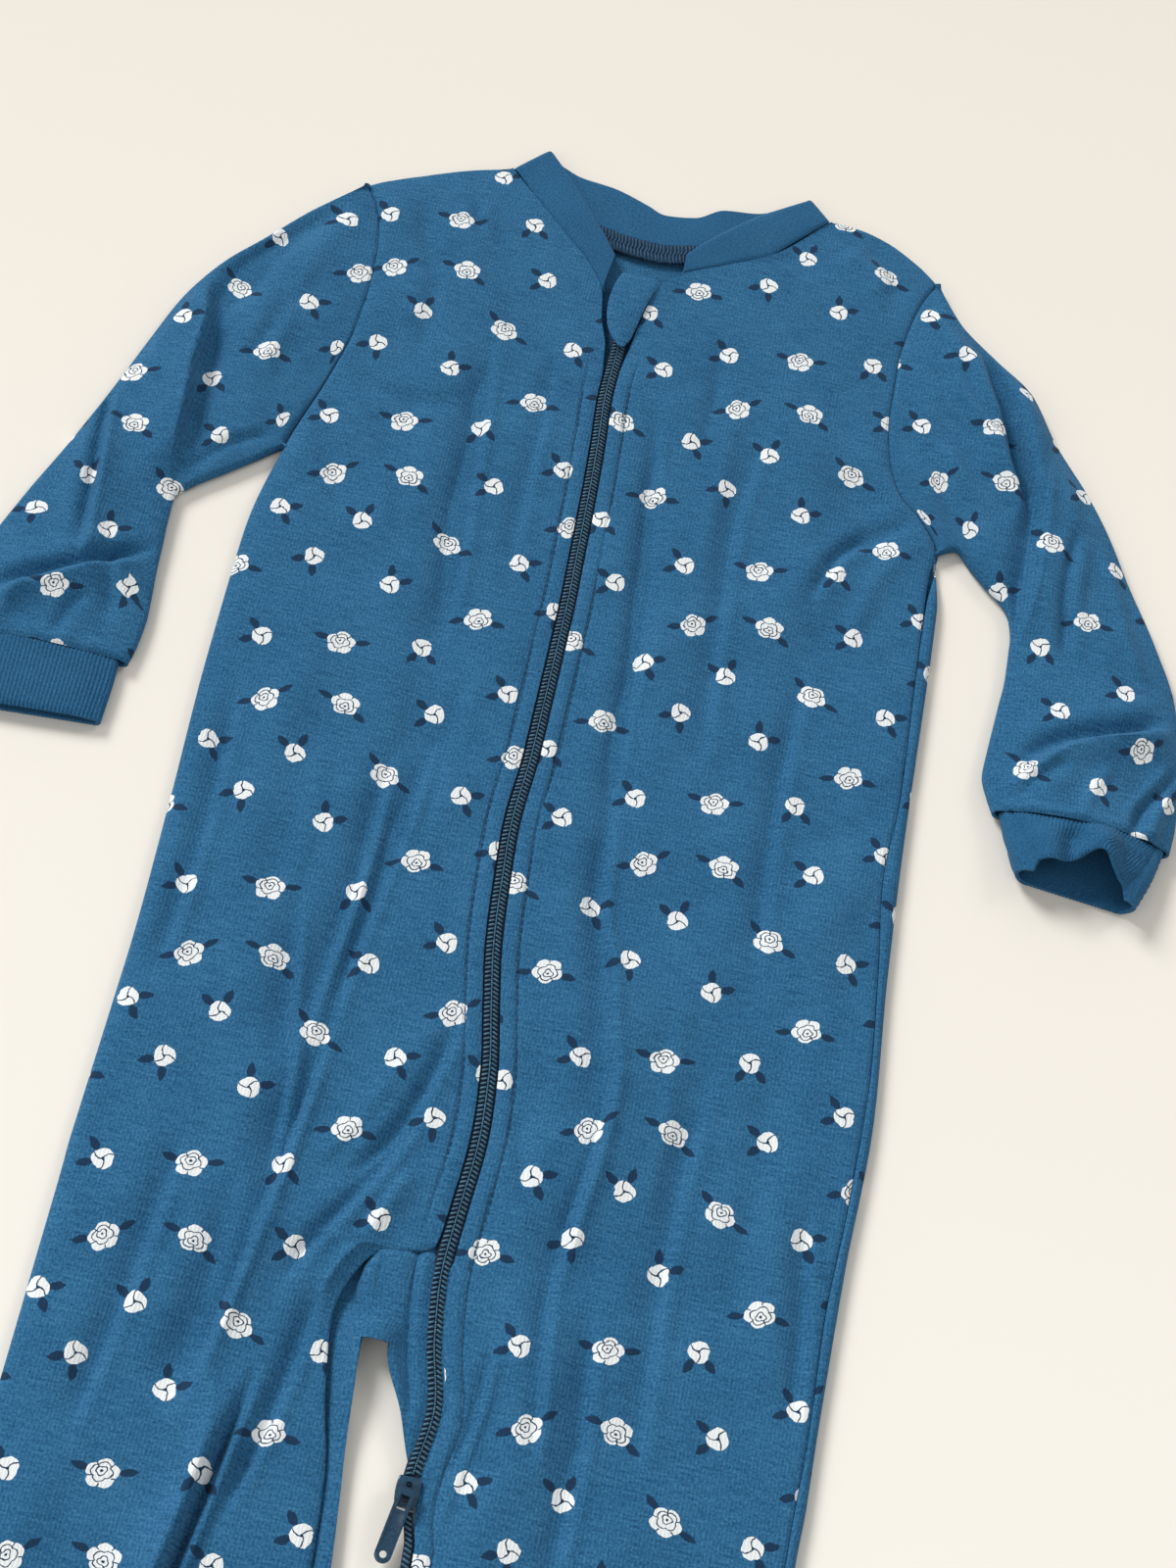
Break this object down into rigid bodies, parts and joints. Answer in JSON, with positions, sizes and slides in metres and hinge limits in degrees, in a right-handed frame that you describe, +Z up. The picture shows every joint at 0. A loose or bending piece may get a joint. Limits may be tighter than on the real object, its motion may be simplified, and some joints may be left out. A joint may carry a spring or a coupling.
{
  "type": "onesie pajama",
  "caption": "Footless zip-through onesie pajama in printed interlock jersey, laid flat on its back, with rib collar and cuffs and a swinging zip pull.",
  "frame": {"origin": "on the surface that the garment lies on, on its centre line at chest height", "axes": "+X to the wearer's left, +Y up to the neck, +Z up from the surface"},
  "size_m": [0.467, 0.8257, 0.0203],
  "materials": {
    "jersey": "heathered blue cotton interlock jersey with a small printed rose and bud repeat, matt with a light fuzz",
    "rib": "plain blue fine rib and plain jersey, matt",
    "zip_coil": "dark blue nylon coil on woven tape",
    "enamel": "cast zinc with dark teal enamel, satin to gloss"
  },
  "bodies": {
    "garment": {"back": "jersey", "front_right": "jersey", "front_left": "jersey", "sleeve_right": "jersey", "sleeve_left": "jersey", "cuff_right": "rib", "cuff_left": "rib", "ankle_cuff_right": "rib", "ankle_cuff_left": "rib", "collar": "rib", "neck_allowance": "rib", "zip_garage": "rib", "zip_chain": "zip_coil", "zip_row_front": "zip_coil", "zip_row_back": "zip_coil", "slider": "enamel", "slider_top": "enamel"},
    "pull": {"pull_tab": "enamel"}
  },
  "joints": [
    {"name": "pull_hinge", "type": "hinge", "parent": "garment", "child": "pull", "pos_m": [0.0126, -0.397, 0.0093], "axis": [-0.9877, 0.1564, 0], "range_deg": [0, 160]}
  ]
}
